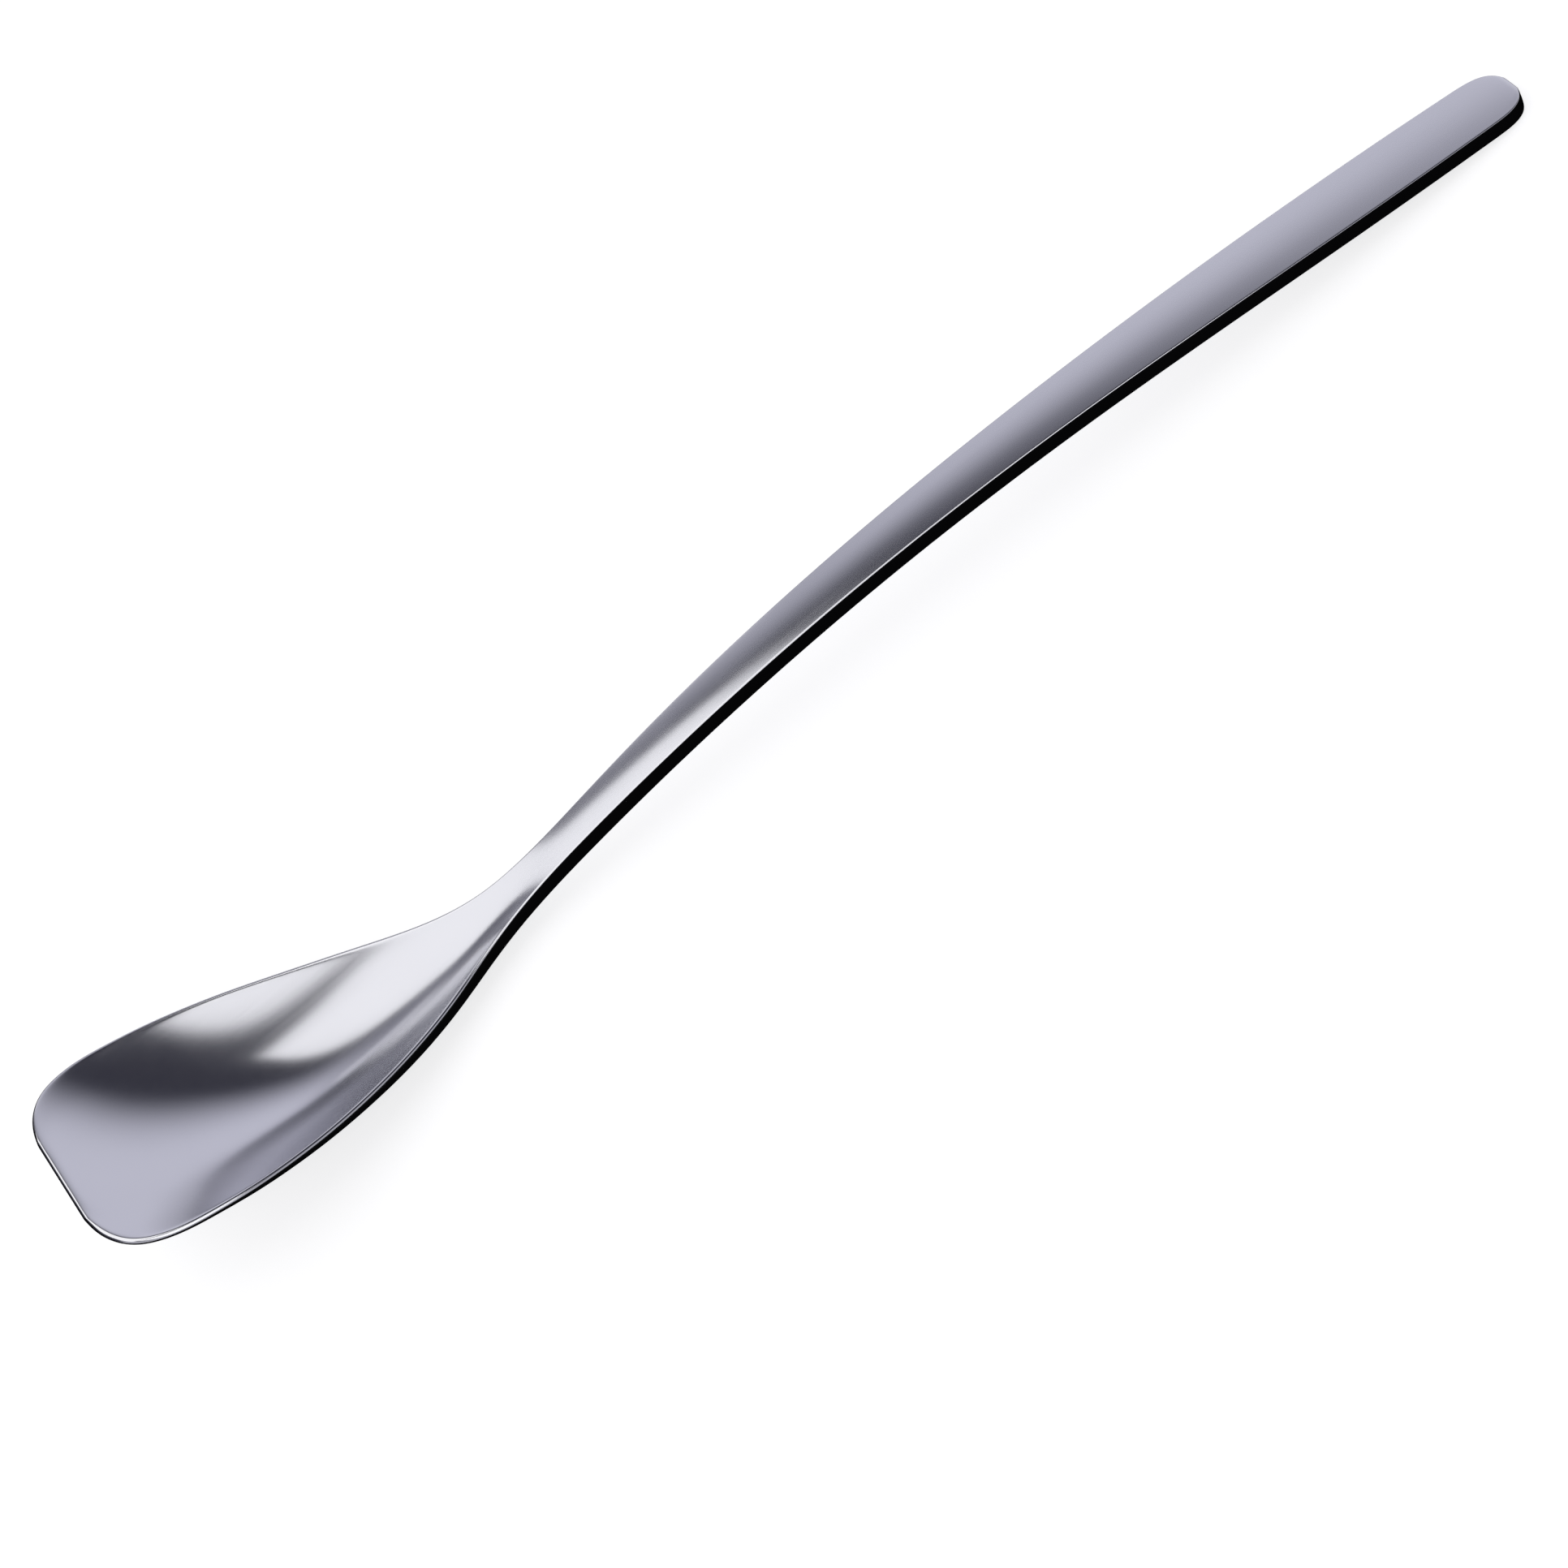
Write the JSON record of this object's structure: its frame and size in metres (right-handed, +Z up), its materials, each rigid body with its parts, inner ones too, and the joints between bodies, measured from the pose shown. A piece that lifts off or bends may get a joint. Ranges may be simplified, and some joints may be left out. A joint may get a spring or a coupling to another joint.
{
  "type": "spatula spoon",
  "caption": "One-piece steel spatula-spoon: dished blade with a straight tip, narrow cranked neck and slim arched handle with a rounded end.",
  "frame": {"origin": "on the table, midway between the tip and the handle's end, on the centre line", "axes": "+X from the blade's tip to the handle's end, +Y across, +Z up from the table"},
  "size_m": [0.19, 0.0274, 0.0153],
  "materials": {
    "polished_steel": "soft mirror polish, fine lengthways polishing lines"
  },
  "bodies": {
    "root": {"spatula_spoon": "polished_steel"}
  },
  "joints": []
}
